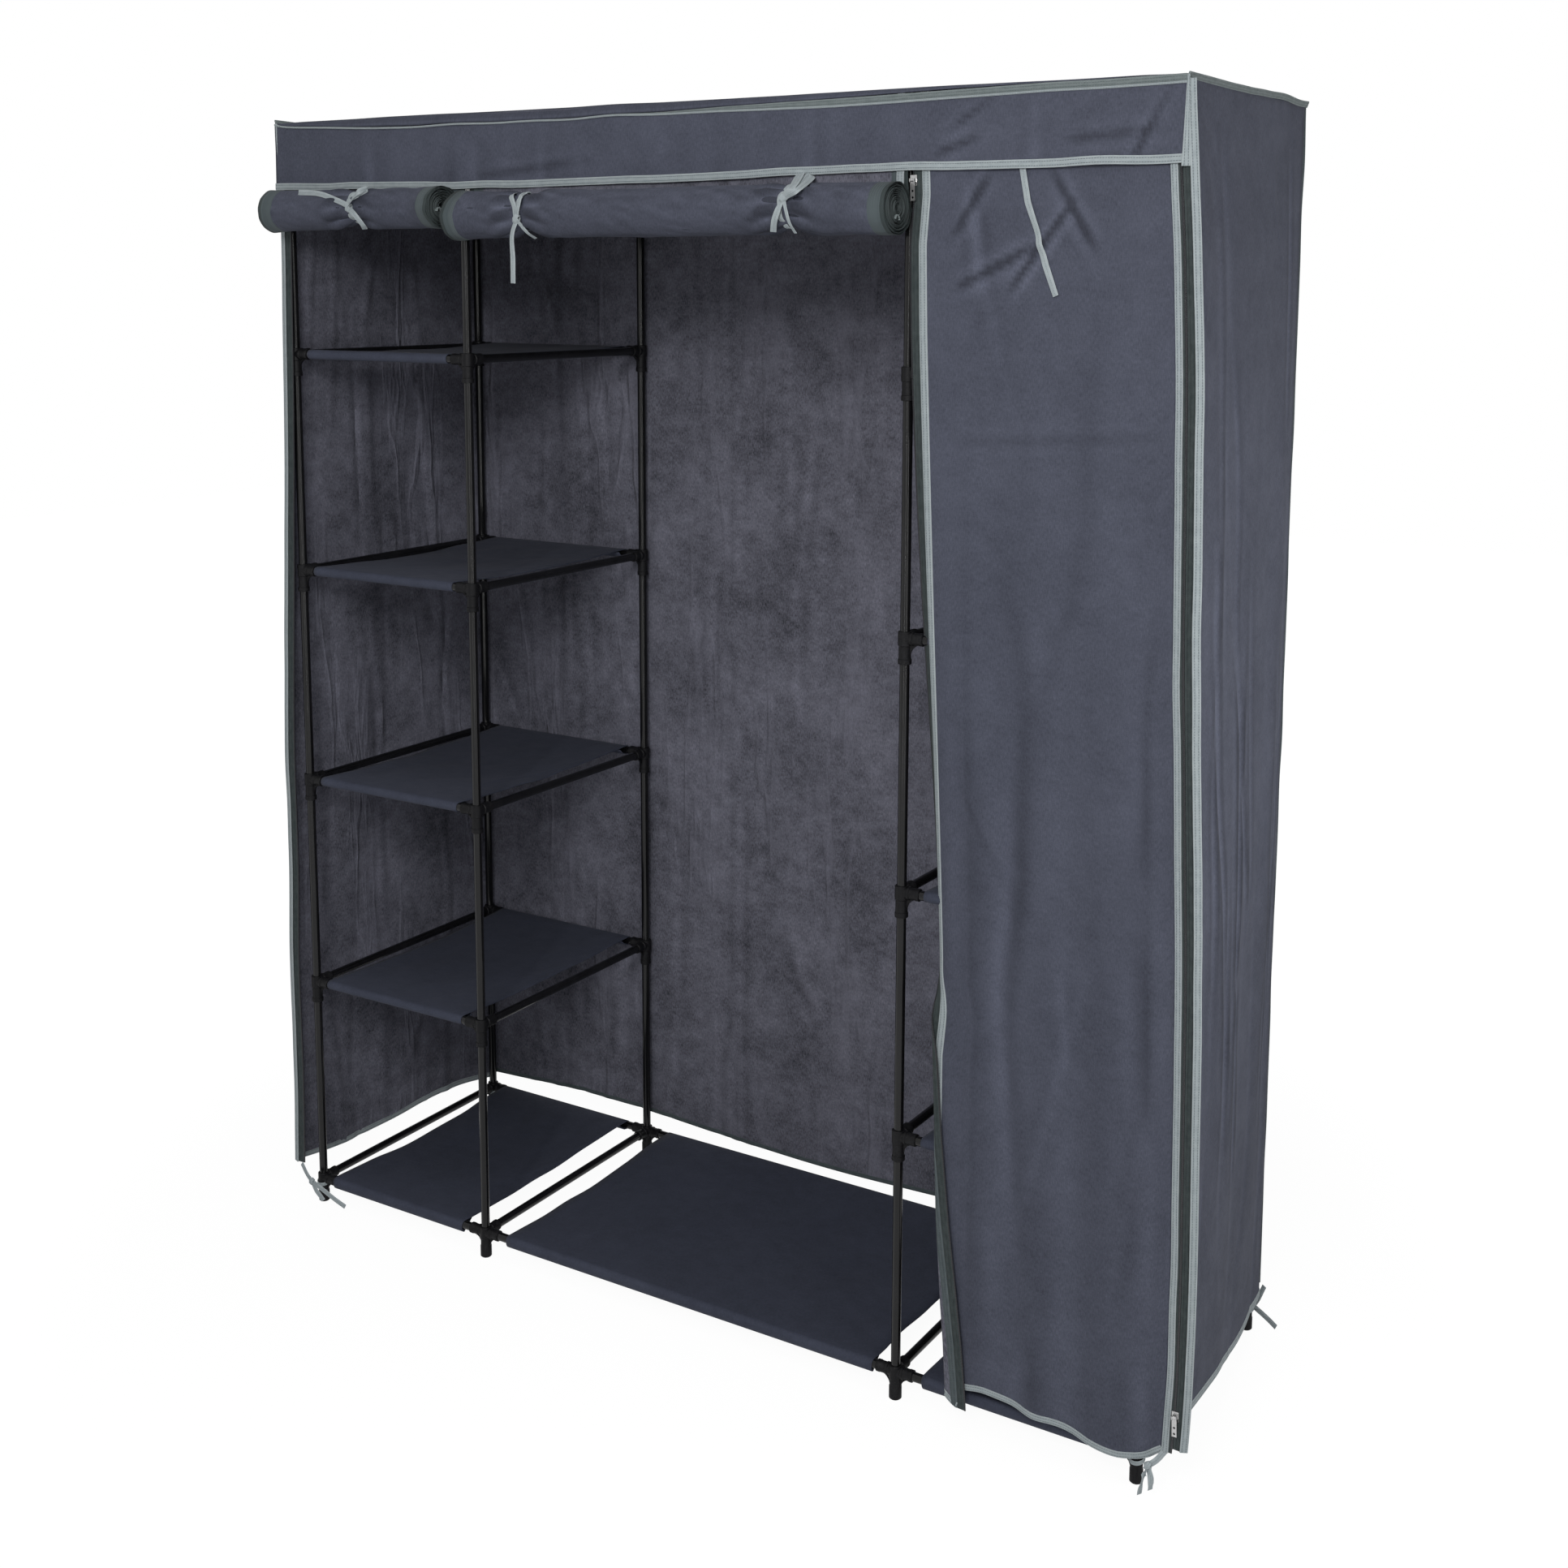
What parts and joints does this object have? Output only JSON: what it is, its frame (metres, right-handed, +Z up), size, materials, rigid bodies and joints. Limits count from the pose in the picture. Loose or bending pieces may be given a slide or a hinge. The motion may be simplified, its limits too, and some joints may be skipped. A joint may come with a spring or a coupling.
{
  "type": "portable fabric wardrobe",
  "caption": "Fabric-covered wardrobe on a steel tube frame, shelf bays beside a hanging bay, zip flaps rolled up or hanging down.",
  "frame": {"origin": "on the floor, below the middle of the wardrobe's outline", "axes": "+X to the right seen from the front, +Y to the back, +Z up"},
  "size_m": [1.5534, 0.5324, 1.7508],
  "materials": {
    "frame_steel": "glossy black enamel on thin tubes, matt black moulded connectors",
    "cover_fabric": "smooth anthracite nonwoven cloth with light grey binding",
    "shelf_fabric": "dark anthracite nonwoven cloth, embossed",
    "tie_ribbon": "light grey-green woven tape",
    "zip_metal": "bright nickel-plated die casting"
  },
  "bodies": {
    "root": {"front_post_1": "frame_steel", "back_post_1": "frame_steel", "front_post_2": "frame_steel", "back_post_2": "frame_steel", "front_post_3": "frame_steel", "back_post_3": "frame_steel", "front_post_4": "frame_steel", "back_post_4": "frame_steel", "left_base_frame": "frame_steel", "left_base_fabric": "shelf_fabric", "left_shelf_frame_1": "frame_steel", "left_shelf_1": "shelf_fabric", "left_shelf_frame_2": "frame_steel", "left_shelf_2": "shelf_fabric", "left_shelf_frame_3": "frame_steel", "left_shelf_3": "shelf_fabric", "left_shelf_frame_4": "frame_steel", "left_shelf_4": "shelf_fabric", "left_top_frame": "frame_steel", "right_base_frame": "frame_steel", "right_base_fabric": "shelf_fabric", "right_shelf_frame_1": "frame_steel", "right_shelf_1": "shelf_fabric", "right_shelf_frame_2": "frame_steel", "right_shelf_2": "shelf_fabric", "right_shelf_frame_3": "frame_steel", "right_shelf_3": "shelf_fabric", "right_shelf_frame_4": "frame_steel", "right_shelf_4": "shelf_fabric", "right_top_frame": "frame_steel", "middle_base_front_rail": "frame_steel", "middle_base_back_rail": "frame_steel", "middle_top_front_rail": "frame_steel", "middle_top_back_rail": "frame_steel", "hanging_rail": "frame_steel", "middle_base_fabric": "shelf_fabric", "back_panel": "cover_fabric", "left_side_panel": "cover_fabric", "right_side_panel": "cover_fabric", "roof_panel": "cover_fabric", "valance": "cover_fabric", "left_rolled_flap": "cover_fabric", "middle_rolled_flap": "cover_fabric", "right_flap": "cover_fabric", "divider_zip_slider": "zip_metal", "left_roll_tie": "tie_ribbon", "middle_roll_left_tie": "tie_ribbon", "middle_roll_right_tie": "tie_ribbon", "right_flap_tie": "tie_ribbon", "front_left_foot_tie": "tie_ribbon", "front_right_foot_tie": "tie_ribbon", "back_left_foot_tie": "tie_ribbon", "back_right_foot_tie": "tie_ribbon"},
    "left_corner_slider": {"left_corner_zip_slider": "zip_metal"},
    "left_corner_pull": {"left_corner_zip_pull": "zip_metal"},
    "divider_pull": {"divider_zip_pull": "zip_metal"},
    "right_flap_slider": {"right_flap_zip_slider": "zip_metal"},
    "right_flap_pull": {"right_flap_zip_pull": "zip_metal"},
    "right_corner_slider": {"right_corner_zip_slider": "zip_metal"},
    "right_corner_pull": {"right_corner_zip_pull": "zip_metal"}
  },
  "joints": [
    {"name": "left_corner_zip_slide", "type": "slide", "parent": "root", "child": "left_corner_slider", "axis": [0.0217, 0, 0.9998], "range_m": [-1.523, 0]},
    {"name": "left_corner_pull_hinge", "type": "hinge", "parent": "left_corner_slider", "child": "left_corner_pull", "pos_m": [-0.72692, -0.2015, 1.6392], "axis": [-0.9998, 0, 0.0217], "range_deg": [0, 150]},
    {"name": "divider_pull_hinge", "type": "hinge", "parent": "root", "child": "divider_pull", "pos_m": [-0.35433, -0.2015, 1.6392], "axis": [-1, 0, 0], "range_deg": [0, 150]},
    {"name": "right_flap_zip_slide", "type": "slide", "parent": "root", "child": "right_flap_slider", "axis": [-0.0411, 0, 0.9992], "range_m": [-1.524, 0]},
    {"name": "right_flap_pull_hinge", "type": "hinge", "parent": "right_flap_slider", "child": "right_flap_pull", "pos_m": [0.3681, -0.2015, 1.6392], "axis": [-0.9992, 0, -0.0411], "range_deg": [0, 150]},
    {"name": "right_corner_zip_slide", "type": "slide", "parent": "root", "child": "right_corner_slider", "axis": [-0.0331, 0, 0.9995], "range_m": [0, 1.524], "deforming": ["right_flap"]},
    {"name": "right_corner_pull_hinge", "type": "hinge", "parent": "right_corner_slider", "child": "right_corner_pull", "pos_m": [0.76002, -0.2015, 0.116], "axis": [-0.9995, 0, -0.0331], "range_deg": [0, 150]}
  ]
}
